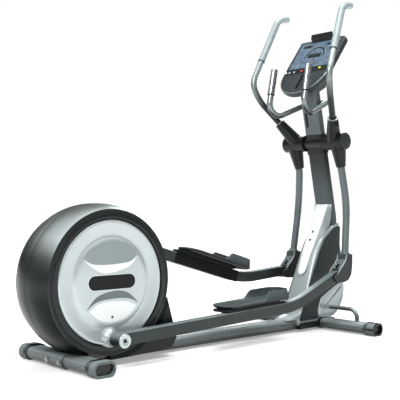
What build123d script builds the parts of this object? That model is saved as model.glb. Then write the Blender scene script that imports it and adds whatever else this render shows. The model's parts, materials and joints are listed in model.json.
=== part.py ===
from build123d import *
import math
import os

# Elliptical trainer. Origin: centre of the footprint on the floor.
# +X points forward, +Y to the user's left, +Z up. Millimetres.

# ---------------------------------------------------------------- driving dimensions
CRANK_X, CRANK_Z = -646, 349      # crank axle
CRANK_R = 229                     # crank throw
HUB_X, HUB_Z = 801, 1000          # pivot of the swing arms
FOOT_X, FOOT_Z = 760, 302         # pivot between swing arm and foot arm
ARM_Y = 180                       # plane of the foot arms
REAR_X, FRONT_X = -792, 798       # stabilizer centre lines
REAR_HALF, FRONT_HALF = 286, 408  # stabilizer half lengths

CROWN_R, RIM_R = 325, 300         # drive casing at its middle and at its rims
RIM_W = 125                       # half width of the drive casing
DISC_R = 258                      # turning disc on each side
RECESS_R, RECESS_W = 262, 95      # round recess the disc turns in
WALL = 3

AXLE_R, SHAFT_R, PIVOT_R, PIN_R = 12.5, 10, 12.5, 8
RUNNING = 0.05                    # radial clearance of shafts in their bores
GAP = 0.3                         # clearance between fixed curved faces

FLYWHEEL_X, FLYWHEEL_R = CRANK_X + 183, 115
PULLEY_R, PINION_R = 140, 22

MAST_W, MAST_D, MAST_FILLET = 114, 46, 18
MAST_FOOT = (806, 0, 62)
MAST_BEND = (902, 0, 566)
MAST_JOINT = (810.4, 0, 1000)
MAST_TOP = (736, 0, 1352)
MAST_ROUTE, MAST_BEND_R = (MAST_FOOT, MAST_BEND, MAST_JOINT), 160

GRIP_R, BAR_R = 18, 16
LINK_R = 19
CONSOLE_BASE = (621, 0, 1253)     # bottom centre of the console's face
CONSOLE_TILT = 52.5
CONSOLE_W, CONSOLE_L, CONSOLE_T = 318, 408, 36

SIDES = (("right", -1), ("left", 1))

# The cranks stand square to the line from the crank axle to the foot pivots, so that
# both swing arms hang at the same angle.
REST_TILT = math.atan2(CRANK_Z - FOOT_Z, FOOT_X - CRANK_X)


def crank_pin(sign):
    """Centre of the crank pin on one side: low on the right, high on the left."""
    throw_x, throw_z = CRANK_R * math.sin(REST_TILT), CRANK_R * math.cos(REST_TILT)
    return CRANK_X + sign * throw_x, CRANK_Z + sign * throw_z


def save(part, name):
    """Label one finished piece and write it to its own file."""
    part.label = name
    export_step(part, f"parts/{name}.step")


def bend_radii(points, share=0.45):
    """Bend radii that use a fixed share of the shorter straight run at each corner."""
    corners = zip(points, points[1:], points[2:])
    radii = []
    for before, here, after in corners:
        run_in, run_out = Vector(*here) - Vector(*before), Vector(*after) - Vector(*here)
        half_turn = math.radians(run_in.get_angle(run_out) / 2)
        radii.append(share * min(run_in.length, run_out.length) / math.tan(half_turn))
    return radii


def side_plane(y):
    """Plane facing the user's right, at the given y, with local x forward and local y up."""
    return Plane(origin=(0, y, 0), x_dir=(1, 0, 0), z_dir=(0, -1, 0))


def crank_plane(y):
    return Plane(origin=(CRANK_X, y, CRANK_Z), x_dir=(1, 0, 0), z_dir=(0, -1, 0))


def ring_plane(x, z):
    """Half plane through an axle: local x is the radius, local y is the object's own Y."""
    return Plane(origin=(x, 0, z), x_dir=(0, 0, 1), z_dir=(-1, 0, 0))


def axle_line(x, z):
    return Axis((x, 0, z), (0, 1, 0))


os.makedirs("parts", exist_ok=True)

# ---------------------------------------------------------------- floor frame
BASE_W, BASE_H, BASE_Z = 90, 60, 38
BASE_FILLET = 28
TUBE_Z = 33
REAR_W, REAR_H, FRONT_W, FRONT_H = 100, 52, 82, 52
SADDLE_T, SADDLE_HALF = 5, 60
FRONT_SADDLE_W, FRONT_SADDLE_H = FRONT_W + 2 * SADDLE_T, FRONT_H + 2 * SADDLE_T

with BuildPart() as base_tube:
    with BuildSketch(Plane(origin=(REAR_X, 0, BASE_Z), x_dir=(0, 1, 0), z_dir=(1, 0, 0))):
        RectangleRounded(BASE_W, BASE_H, BASE_FILLET)
        RectangleRounded(BASE_W - 6, BASE_H - 6, BASE_FILLET - 3, mode=Mode.SUBTRACT)
    extrude(amount=FRONT_X - REAR_X)
    for x, width, height in ((REAR_X, REAR_W, REAR_H), (FRONT_X, FRONT_W, FRONT_H)):
        with BuildSketch(side_plane(SADDLE_HALF)):
            with Locations((x, TUBE_Z)):
                RectangleRounded(width + 2 * SADDLE_T, height + 2 * SADDLE_T, height / 2 + SADDLE_T - 1)
        extrude(amount=2 * SADDLE_HALF)
        with BuildSketch(side_plane(SADDLE_HALF)):
            with Locations((x, TUBE_Z)):
                RectangleRounded(width + 2 * GAP, height + 2 * GAP, height / 2 - 1 + GAP)
        extrude(amount=2 * SADDLE_HALF, mode=Mode.SUBTRACT)
save(base_tube.part, "base_tube")

CAP_L = 58
for name, x, half, width, height in (
    ("rear_stabilizer", REAR_X, REAR_HALF, REAR_W, REAR_H),
    ("front_stabilizer", FRONT_X, FRONT_HALF, FRONT_W, FRONT_H),
):
    with BuildPart() as stabilizer:
        with BuildSketch(side_plane(half - CAP_L)):
            with Locations((x, TUBE_Z)):
                RectangleRounded(width, height, height / 2 - 1)
                RectangleRounded(width - 6, height - 6, height / 2 - 4, mode=Mode.SUBTRACT)
        extrude(amount=2 * (half - CAP_L))
    save(stabilizer.part, name)

WHEEL_X, WHEEL_Z, WHEEL_R, WHEEL_W = FRONT_X + 27, 22, 20, 18
WHEEL_Y = FRONT_HALF - 30
WHEEL_PIN_R = 4

with BuildPart() as end_caps:
    for x, half, width in ((REAR_X, REAR_HALF, REAR_W + 4), (FRONT_X, FRONT_HALF, FRONT_W + 4)):
        for start in (half, -half + CAP_L - GAP):
            with BuildSketch(side_plane(start)):
                with Locations((x, 32)):
                    RectangleRounded(width, 64, 28)
                    RectangleRounded(width - 16, 44, 20, mode=Mode.SUBTRACT)
            extrude(amount=CAP_L - GAP)
    for sign in (-1, 1):
        with BuildSketch(side_plane(sign * WHEEL_Y + WHEEL_W / 2 + 2)):
            with Locations((WHEEL_X, WHEEL_Z)):
                Rectangle(2 * WHEEL_R + 6, 2 * WHEEL_R + 6)
        extrude(amount=WHEEL_W + 4, mode=Mode.SUBTRACT)
        with BuildSketch(side_plane(sign * WHEEL_Y + WHEEL_W / 2 + 8)):
            with Locations((WHEEL_X, WHEEL_Z)):
                Circle(WHEEL_PIN_R + 5)
        extrude(amount=6)
        with BuildSketch(side_plane(sign * WHEEL_Y - WHEEL_W / 2 - 2)):
            with Locations((WHEEL_X, WHEEL_Z)):
                Circle(WHEEL_PIN_R + 5)
        extrude(amount=6)
        with BuildSketch(side_plane(sign * WHEEL_Y + WHEEL_W / 2 + 8)):
            with Locations((WHEEL_X, WHEEL_Z)):
                Circle(WHEEL_PIN_R)
        extrude(amount=WHEEL_W + 16)
save(end_caps.part, "end_caps")

for name, sign in SIDES:
    with BuildPart() as wheel:
        with BuildSketch(ring_plane(WHEEL_X, WHEEL_Z)):
            with BuildLine():
                Polyline(
                    (WHEEL_PIN_R + RUNNING, -WHEEL_W / 2), (WHEEL_R - 3, -WHEEL_W / 2),
                    (WHEEL_R, -WHEEL_W / 2 + 3), (WHEEL_R, WHEEL_W / 2 - 3),
                    (WHEEL_R - 3, WHEEL_W / 2), (WHEEL_PIN_R + RUNNING, WHEEL_W / 2), close=True,
                )
            make_face()
        revolve(axis=axle_line(WHEEL_X, WHEEL_Z))
    save(wheel.part.moved(Location((0, sign * WHEEL_Y, 0))), f"transport_wheel_{name}")

HANDLE_R, HANDLE_Y, HANDLE_Z = 11, 240, 112
HANDLE_X = FRONT_X + FRONT_W / 2 + HANDLE_R + GAP
handle_points = [
    (HANDLE_X, -HANDLE_Y, 30), (HANDLE_X, -HANDLE_Y, HANDLE_Z),
    (HANDLE_X, HANDLE_Y, HANDLE_Z), (HANDLE_X, HANDLE_Y, 30),
]
with BuildPart() as lift_handle:
    with BuildLine() as handle_route:
        FilletPolyline(handle_points, radius=46)
    with BuildSketch(Plane(origin=handle_route.line @ 0, z_dir=handle_route.line % 0)):
        Circle(HANDLE_R)
        Circle(HANDLE_R - 2.5, mode=Mode.SUBTRACT)
    sweep()
save(lift_handle.part, "lift_handle")

BOLT_Y = 46
with BuildPart() as frame_bolts:
    for x, outward in ((REAR_X - REAR_W / 2 - SADDLE_T, -1), (FRONT_X + FRONT_W / 2 + SADDLE_T, 1)):
        with BuildSketch(Plane(origin=(x, 0, TUBE_Z), x_dir=(0, 1, 0), z_dir=(outward, 0, 0))):
            with Locations((-BOLT_Y, 0), (BOLT_Y, 0)):
                Circle(11)
        extrude(amount=3)
        with BuildSketch(Plane(origin=(x + 3 * outward, 0, TUBE_Z), x_dir=(0, 1, 0), z_dir=(outward, 0, 0))):
            with Locations((-BOLT_Y, 0), (BOLT_Y, 0)):
                RegularPolygon(8, 6)
        extrude(amount=6)
save(frame_bolts.part, "frame_bolts")

# ---------------------------------------------------------------- drive casing
base_tunnel = RectangleRounded(BASE_W + 4, BASE_H + 4, BASE_FILLET + 2)


def fairing(margin):
    """Side outline of the lower front of the casing, drawn from the crank axle."""
    return [
        (0, 0), (302 - margin, -86), (356 - margin, -266), (330 - margin, -306 + margin),
        (150, -318 + margin), (0, -322 + margin),
    ]


for name, sign in SIDES:
    with BuildPart() as casing:
        with BuildSketch(ring_plane(CRANK_X, CRANK_Z)):
            with BuildLine():
                crown = ThreePointArc((CROWN_R, 0), (CROWN_R - 6, sign * 70), (RIM_R, sign * RIM_W))
                Polyline(crown @ 1, (0, sign * RIM_W), (0, 0), crown @ 0)
            make_face()
        revolve(axis=axle_line(CRANK_X, CRANK_Z))
        with BuildSketch(crank_plane(0)):
            Polygon(*fairing(0), align=None)
        extrude(amount=-sign * (RIM_W - 6))
        with BuildSketch(ring_plane(CRANK_X, CRANK_Z)):
            with BuildLine():
                lining = ThreePointArc(
                    (CROWN_R - WALL, 0), (CROWN_R - WALL - 6, sign * 70),
                    (RIM_R - WALL, sign * (RIM_W - WALL)),
                )
                Polyline(
                    lining @ 1, (RECESS_R + WALL, sign * (RIM_W - WALL)),
                    (RECESS_R + WALL, sign * (RECESS_W - WALL)), (0, sign * (RECESS_W - WALL)), (0, 0),
                    lining @ 0,
                )
            make_face()
        revolve(axis=axle_line(CRANK_X, CRANK_Z), mode=Mode.SUBTRACT)
        with BuildSketch(crank_plane(0)):
            Polygon(*fairing(WALL), align=None)
            Circle(RECESS_R + WALL, mode=Mode.SUBTRACT)
        extrude(amount=-sign * (RIM_W - 6 - WALL), mode=Mode.SUBTRACT)
        with BuildSketch(crank_plane(sign * RECESS_W)):
            Circle(RECESS_R)
        extrude(amount=-sign * 40, mode=Mode.SUBTRACT)
        with BuildSketch(crank_plane(0)):
            Circle(AXLE_R + 6)
        extrude(amount=-sign * RIM_W, mode=Mode.SUBTRACT)
        with BuildSketch(Plane(origin=(REAR_X - 80, 0, BASE_Z), x_dir=(0, 1, 0), z_dir=(1, 0, 0))):
            add(base_tunnel)
        extrude(amount=700, mode=Mode.SUBTRACT)
        with BuildSketch(side_plane(RIM_W + 5)):
            with Locations((REAR_X, TUBE_Z)):
                RectangleRounded(REAR_W + 2 * SADDLE_T + 4, REAR_H + 2 * SADDLE_T + 4, 32)
        extrude(amount=2 * RIM_W + 10, mode=Mode.SUBTRACT)
    save(casing.part, f"casing_{name}")

SCREW_RING = RIM_R - 9
with BuildPart() as casing_screws:
    for side, sign in SIDES:
        with BuildSketch(crank_plane(sign * (RIM_W + 0.2))):
            with PolarLocations(SCREW_RING, 5, start_angle=62, angular_range=280):
                Circle(4)
        extrude(amount=-sign * 1.5)
save(casing_screws.part, "casing_screws")

# ---------------------------------------------------------------- drive inside the casing
SHELL_R, BEARING_R = 31, 26
PLATE_Y = (-58, 18)
PLATE_T = 8
SHELL_SPAN = (-64, 30)

with BuildPart() as drive_frame:
    with BuildSketch(crank_plane(SHELL_SPAN[1])):
        Circle(SHELL_R)
    extrude(amount=SHELL_SPAN[1] - SHELL_SPAN[0])
    with BuildSketch(Plane.XY.offset(50)):
        with Locations((CRANK_X, (SHELL_SPAN[0] + SHELL_SPAN[1]) / 2)):
            Rectangle(50, 70)
    extrude(amount=CRANK_Z - 50)
    for y in PLATE_Y:
        with BuildSketch(side_plane(y + PLATE_T)):
            with BuildLine():
                Polyline(
                    (FLYWHEEL_X - 60, 50), (FLYWHEEL_X + 60, 50), (FLYWHEEL_X + 30, CRANK_Z - 10),
                    (FLYWHEEL_X + 75, CRANK_Z + 62), (FLYWHEEL_X + 40, CRANK_Z + 112),
                    (FLYWHEEL_X - 30, CRANK_Z + 30), (FLYWHEEL_X - 30, CRANK_Z - 10), close=True,
                )
            make_face()
        extrude(amount=PLATE_T)
    with BuildSketch(Plane(origin=(REAR_X, 0, BASE_Z), x_dir=(0, 1, 0), z_dir=(1, 0, 0))):
        RectangleRounded(BASE_W + 2 * GAP, BASE_H + 2 * GAP, BASE_FILLET + GAP)
    extrude(amount=700, mode=Mode.SUBTRACT)
    with BuildSketch(crank_plane(SHELL_SPAN[1])):
        Circle(BEARING_R)
    extrude(amount=SHELL_SPAN[1] - SHELL_SPAN[0], mode=Mode.SUBTRACT)
    with BuildSketch(side_plane(40)):
        with Locations((FLYWHEEL_X, CRANK_Z)):
            Circle(21)
    extrude(amount=110, mode=Mode.SUBTRACT)
save(drive_frame.part, "drive_frame")

with BuildPart() as drive_bearings:
    for y in (SHELL_SPAN[1] - 2, SHELL_SPAN[0] + 17):
        with BuildSketch(crank_plane(y)):
            Circle(BEARING_R - RUNNING)
            Circle(AXLE_R + RUNNING, mode=Mode.SUBTRACT)
        extrude(amount=15)
    for y in PLATE_Y:
        with BuildSketch(side_plane(y + PLATE_T)):
            with Locations((FLYWHEEL_X, CRANK_Z)):
                Circle(21 - RUNNING)
                Circle(SHAFT_R + RUNNING, mode=Mode.SUBTRACT)
        extrude(amount=PLATE_T)
save(drive_bearings.part, "drive_bearings")

BRAKE_IN, BRAKE_OUT = 88, FLYWHEEL_R + 13
with BuildPart() as eddy_brake:
    with BuildSketch(side_plane(PLATE_Y[1] - GAP)):
        with Locations((FLYWHEEL_X, CRANK_Z)):
            Circle(BRAKE_OUT)
            Circle(BRAKE_IN, mode=Mode.SUBTRACT)
            Polygon((0, 0), (200, 66), (200, 200), (28, 200), align=None, mode=Mode.INTERSECT)
    extrude(amount=PLATE_Y[1] - PLATE_Y[0] - PLATE_T - 2 * GAP)
    with BuildSketch(side_plane(7)):
        with Locations((FLYWHEEL_X, CRANK_Z)):
            Circle(FLYWHEEL_R + 3)
    extrude(amount=46, mode=Mode.SUBTRACT)
save(eddy_brake.part, "eddy_brake")

BELT_T = 4
with BuildPart() as drive_belt:
    with BuildSketch(crank_plane(64)):
        for swell, mode in ((BELT_T + GAP, Mode.ADD), (GAP, Mode.SUBTRACT)):
            with BuildSketch(mode=Mode.PRIVATE) as loop:
                Circle(PULLEY_R + swell)
                with Locations((FLYWHEEL_X - CRANK_X, 0)):
                    Circle(PINION_R + swell)
                make_hull()
            add(loop.sketch, mode=mode)
    extrude(amount=18)
save(drive_belt.part, "drive_belt")

# ---------------------------------------------------------------- crank assembly
ARM_IN, ARM_T = 98, 8
BOSS_OUT = 160

with BuildPart() as crank_axle:
    with BuildSketch(crank_plane(ARM_IN - GAP)):
        Circle(AXLE_R)
    extrude(amount=2 * (ARM_IN - GAP))
save(crank_axle.part, "crank_axle")

with BuildPart() as crank_pulley:
    with BuildSketch(crank_plane(66)):
        Circle(PULLEY_R)
        Circle(AXLE_R + RUNNING, mode=Mode.SUBTRACT)
    extrude(amount=22)
    with BuildSketch(crank_plane(66)):
        Circle(PULLEY_R - 12)
        Circle(AXLE_R + 14, mode=Mode.SUBTRACT)
    extrude(amount=7, mode=Mode.SUBTRACT)
    with BuildSketch(crank_plane(51)):
        Circle(PULLEY_R - 12)
        Circle(AXLE_R + 14, mode=Mode.SUBTRACT)
    extrude(amount=7, mode=Mode.SUBTRACT)
    with BuildSketch(crank_plane(66)):
        with PolarLocations(80, 6):
            Circle(24)
    extrude(amount=22, mode=Mode.SUBTRACT)
save(crank_pulley.part, "crank_pulley")

with BuildPart() as crank_arms:
    for side, sign in SIDES:
        pin_x, pin_z = crank_pin(sign)
        with BuildSketch(crank_plane(sign * ARM_IN)):
            Circle(30)
            with Locations((pin_x - CRANK_X, pin_z - CRANK_Z)):
                Circle(24)
            make_hull()
        extrude(amount=-sign * ARM_T)
        with BuildSketch(side_plane(sign * (ARM_IN + ARM_T))):
            with Locations((pin_x, pin_z)):
                Circle(17)
        extrude(amount=-sign * (BOSS_OUT - 1 - ARM_IN - ARM_T))
save(crank_arms.part, "crank_arms")

GROOVE_R, FACE_R = 200, 183
for name, sign in SIDES:
    pin_x, pin_z = crank_pin(sign)
    with BuildPart() as crank_disc:
        with BuildSketch(ring_plane(CRANK_X, CRANK_Z)):
            with BuildLine():
                Polyline(
                    (0, sign * 121), (174, sign * 121), (184, sign * 113), (DISC_R - 4, sign * 113),
                    (DISC_R - 4, sign * 101), (DISC_R, sign * 101), (DISC_R, sign * 122),
                    (DISC_R - 4, sign * 126), (DISC_R - 12, sign * 126.5), (GROOVE_R, sign * 121),
                    (FACE_R + 2, sign * 120),
                    (FACE_R - 2, sign * 124), (FACE_R - 12, sign * 127), (0, sign * 128), close=True,
                )
            make_face()
        revolve(axis=axle_line(CRANK_X, CRANK_Z))
        with BuildSketch(side_plane(sign * 116)):
            with Locations((pin_x, pin_z)):
                Circle(44)
        extrude(amount=-sign * (BOSS_OUT - 116), taper=22)
        with BuildSketch(crank_plane(0)):
            Circle(DISC_R)
        extrude(amount=-sign * 300, mode=Mode.INTERSECT)
        with BuildSketch(side_plane(sign * 100)):
            with Locations((pin_x, pin_z)):
                Circle(17 + GAP)
        extrude(amount=-sign * 80, mode=Mode.SUBTRACT)
    save(crank_disc.part, f"crank_disc_{name}")

# ---------------------------------------------------------------- flywheel assembly
with BuildPart() as flywheel:
    with BuildSketch(side_plane(4)):
        with Locations((FLYWHEEL_X, CRANK_Z)):
            Circle(FLYWHEEL_R)
            Circle(SHAFT_R + RUNNING, mode=Mode.SUBTRACT)
    extrude(amount=40)
    for y in (4, -36 + 10):
        with BuildSketch(side_plane(y)):
            with Locations((FLYWHEEL_X, CRANK_Z)):
                Circle(FLYWHEEL_R - 28)
                Circle(30, mode=Mode.SUBTRACT)
        extrude(amount=10, mode=Mode.SUBTRACT)
save(flywheel.part, "flywheel")

with BuildPart() as flywheel_shaft:
    with BuildSketch(side_plane(68)):
        with Locations((FLYWHEEL_X, CRANK_Z)):
            Circle(SHAFT_R)
    extrude(amount=136)
    with BuildSketch(side_plane(66)):
        with Locations((FLYWHEEL_X, CRANK_Z)):
            Circle(PINION_R)
    extrude(amount=22)
save(flywheel_shaft.part, "flywheel_shaft")

# ---------------------------------------------------------------- mast
mast_axis = (Vector(*MAST_TOP) - Vector(*MAST_JOINT)).normalized()
CROSS_R, CROSS_HALF = 30, 96

with BuildPart() as mast_lower:
    with BuildLine() as mast_route:
        FilletPolyline(MAST_ROUTE, radius=MAST_BEND_R)
    with BuildSketch(Plane(origin=MAST_FOOT, x_dir=(0, 1, 0), z_dir=mast_route.line % 0)):
        RectangleRounded(MAST_W, MAST_D, MAST_FILLET)
        RectangleRounded(MAST_W - 8, MAST_D - 8, MAST_FILLET - 4, mode=Mode.SUBTRACT)
    sweep()
    with BuildSketch(side_plane(CROSS_HALF)):
        with Locations((HUB_X, HUB_Z)):
            Circle(CROSS_R)
    extrude(amount=2 * CROSS_HALF)
    with BuildSketch(side_plane(CROSS_HALF)):
        with Locations((HUB_X, HUB_Z)):
            Circle(PIVOT_R + RUNNING)
    extrude(amount=2 * CROSS_HALF, mode=Mode.SUBTRACT)
    with BuildSketch(Plane(origin=(FRONT_X, 0, BASE_Z), x_dir=(0, 1, 0), z_dir=(1, 0, 0))):
        RectangleRounded(BASE_W + 2 * GAP, BASE_H + 2 * GAP, BASE_FILLET + GAP)
    extrude(amount=200, both=True, mode=Mode.SUBTRACT)
    with BuildSketch(side_plane(SADDLE_HALF + GAP)):
        with Locations((FRONT_X, TUBE_Z)):
            RectangleRounded(FRONT_SADDLE_W + 1, FRONT_SADDLE_H + 1, FRONT_H / 2 + SADDLE_T - 1)
    extrude(amount=2 * (SADDLE_HALF + GAP), mode=Mode.SUBTRACT)
save(mast_lower.part, "mast_lower")

console_up = Vector(math.cos(math.radians(CONSOLE_TILT)), 0, math.sin(math.radians(CONSOLE_TILT)))
console_out = Vector(-math.sin(math.radians(CONSOLE_TILT)), 0, math.cos(math.radians(CONSOLE_TILT)))


def console_plane(height):
    """Plane parallel to the console's face; local x to the user's right, local y up the face."""
    return Plane(origin=Vector(*CONSOLE_BASE) + console_out * height, x_dir=(0, -1, 0), z_dir=console_out)


mast_start = Vector(*MAST_JOINT) + mast_axis * 34
SLOT_Y, SLOT_UP = 28, 96          # cable slot near the mast's left edge
with BuildPart() as mast_upper:
    with BuildSketch(Plane(origin=mast_start, x_dir=(0, 1, 0), z_dir=mast_axis)):
        RectangleRounded(MAST_W, MAST_D, MAST_FILLET)
        RectangleRounded(MAST_W - 8, MAST_D - 8, MAST_FILLET - 4, mode=Mode.SUBTRACT)
    extrude(amount=(Vector(*MAST_TOP) - mast_start).length + 25)
    for y in (-MAST_W / 2 + 6, MAST_W / 2):
        with BuildSketch(side_plane(y)):
            Polygon((752, 1262), (820, 1300), (840, 1460), (700, 1330), align=None)
        extrude(amount=6)
    with BuildSketch(console_plane(-CONSOLE_T - GAP)):
        Rectangle(900, 1500)
    extrude(amount=400, mode=Mode.SUBTRACT)
    with BuildSketch(Plane(origin=mast_start + mast_axis * SLOT_UP, x_dir=(0, 1, 0), z_dir=(-1, 0, 0))):
        with Locations((SLOT_Y, 0)):
            SlotOverall(88, 14, rotation=90)
    extrude(amount=60, both=True, mode=Mode.SUBTRACT)
save(mast_upper.part, "mast_upper")

STRIP_HALF = 41
STRIP_EDGE = ((676, 300), (696, 296), (738, 400), (802, 512), (846, 560))
with BuildPart() as mast_cover:
    with BuildSketch(side_plane(STRIP_HALF)):
        with BuildLine():
            Polyline(
                *STRIP_EDGE, (868, 668), (851, 668), (781, 520), (726, 413), close=True,
            )
        make_face()
    extrude(amount=2 * STRIP_HALF)
    with BuildLine() as cover_route:
        FilletPolyline(MAST_ROUTE, radius=MAST_BEND_R)
    with BuildSketch(Plane(origin=MAST_FOOT, x_dir=(0, 1, 0), z_dir=cover_route.line % 0)):
        RectangleRounded(MAST_W + 1, MAST_D + 1, MAST_FILLET)
    sweep(mode=Mode.SUBTRACT)
save(mast_cover.part, "mast_cover")

# ---------------------------------------------------------------- front shroud
SHROUD_HALF = 60
PANEL_T = 8

with BuildPart() as shroud_shell:
    with BuildSketch(side_plane(SHROUD_HALF)) as shroud_outline:
        with BuildLine():
            Polyline(
                (586, 66), (618, 108), (652, 200), (686, 296), (732, 411), (802, 522), (862, 548),
                (905, 566), (938, 556), (932, 440), (955, 340), (971, 240), (956, 155), (926, 98),
                (872, 50), (856, 14), (610, 14), (588, 40), close=True,
            )
        make_face()
    extrude(amount=2 * SHROUD_HALF)
    with BuildSketch(side_plane(SHROUD_HALF - WALL)):
        offset(shroud_outline.sketch, amount=-WALL, kind=Kind.INTERSECTION)
    extrude(amount=2 * (SHROUD_HALF - WALL), mode=Mode.SUBTRACT)
    with BuildLine() as hollow_route:
        FilletPolyline(MAST_ROUTE, radius=MAST_BEND_R)
    with BuildSketch(Plane(origin=MAST_FOOT, x_dir=(0, 1, 0), z_dir=hollow_route.line % 0)):
        RectangleRounded(MAST_W + 1, MAST_D + 1, MAST_FILLET)
    sweep(mode=Mode.SUBTRACT)
    with BuildSketch(Plane(origin=(400, 0, BASE_Z), x_dir=(0, 1, 0), z_dir=(1, 0, 0))):
        RectangleRounded(BASE_W + 1, BASE_H + 1, BASE_FILLET)
    extrude(amount=400, mode=Mode.SUBTRACT)
    with BuildSketch(side_plane(100)):
        with Locations((FRONT_X, TUBE_Z)):
            RectangleRounded(FRONT_SADDLE_W + 2, FRONT_SADDLE_H + 2, FRONT_H / 2 + SADDLE_T)
            with Locations((0, -30)):
                Rectangle(FRONT_SADDLE_W + 2, 60)
    extrude(amount=200, mode=Mode.SUBTRACT)
    with BuildSketch(side_plane(100)):
        Polygon(*STRIP_EDGE, (868, 668), (700, 668), align=None)
    extrude(amount=200, mode=Mode.SUBTRACT)
    with BuildSketch(side_plane(100)):
        with Locations((HANDLE_X, HANDLE_Z)):
            Circle(HANDLE_R + 1)
    extrude(amount=200, mode=Mode.SUBTRACT)
save(shroud_shell.part, "shroud_shell")

with BuildPart() as shroud_panels:
    for start in (-SHROUD_HALF - GAP, SHROUD_HALF + GAP + PANEL_T):
        with BuildSketch(side_plane(start)):
            with BuildLine():
                Polyline(
                    (600, 56), (622, 128), (662, 212), (704, 300), (752, 402), (800, 478), (880, 538),
                    (928, 548), (924, 445), (946, 340), (960, 240), (900, 232), (820, 195), (764, 168),
                    (740, 110), (742, 60), close=True,
                )
            make_face()
        extrude(amount=PANEL_T)
save(shroud_panels.part, "shroud_panels")

with BuildPart() as shroud_crescents:
    for start in (-SHROUD_HALF - GAP, SHROUD_HALF + GAP + PANEL_T + 2):
        with BuildSketch(side_plane(start)):
            with BuildLine():
                Polyline(
                    (745, 110), (768, 166), (822, 192), (900, 229), (960, 235), (955, 160),
                    (922, 100), (874, 66), (762, 66), (747, 76), close=True,
                )
            make_face()
            with Locations((HANDLE_X, HANDLE_Z)):
                Circle(HANDLE_R + 1, mode=Mode.SUBTRACT)
        extrude(amount=PANEL_T + 2)
save(shroud_crescents.part, "shroud_crescents")

# ---------------------------------------------------------------- swing pivot on the mast
HUB_IN, HUB_OUT, HUB_R = 99, 199, 34
COVER_R, COVER_IN = 44, 64         # the hub covers reach inward over the cross tube
with BuildPart() as pivot_shaft:
    with BuildSketch(side_plane(HUB_OUT - 3)):
        with Locations((HUB_X, HUB_Z)):
            Circle(PIVOT_R)
    extrude(amount=2 * (HUB_OUT - 3))
save(pivot_shaft.part, "pivot_shaft")

with BuildPart() as hub_sleeve:
    with BuildSketch(Plane(origin=Vector(*MAST_JOINT) - mast_axis * 58, x_dir=(0, 1, 0), z_dir=mast_axis)):
        RectangleRounded(MAST_W + 8, MAST_D + 12, MAST_FILLET + 4)
    extrude(amount=106)
    with BuildSketch(Plane(origin=Vector(*MAST_JOINT) - mast_axis * 120, x_dir=(0, 1, 0), z_dir=mast_axis)):
        RectangleRounded(MAST_W + 1, MAST_D + 1, MAST_FILLET)
    extrude(amount=240, mode=Mode.SUBTRACT)
    with BuildSketch(side_plane(CROSS_HALF + 1)):
        with Locations((HUB_X, HUB_Z)):
            Circle(CROSS_R + GAP)
    extrude(amount=2 * CROSS_HALF + 2, mode=Mode.SUBTRACT)
save(hub_sleeve.part, "hub_sleeve")

# ---------------------------------------------------------------- swing arms
LINK_TOP, LINK_BEND, LINK_MID = (HUB_X + 4, 150, HUB_Z - 15), (837, 145, 866), (856, 168, 664)
LINK_END, LINK_FOOT = (826, 180, 415), (822, 180, 386)
FORK_TOP, FORK_BEND = (822, 402), (808, 350)
COVER_TOP = (715, 187, 1116)
FORK_IN, FORK_T = 21, 4
CHEEK_IN, CHEEK_T = 27, 3.5
TIP_START = 0.348                 # share of the upper run where the grip starts
hub_axis = axle_line(HUB_X, HUB_Z)

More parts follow.
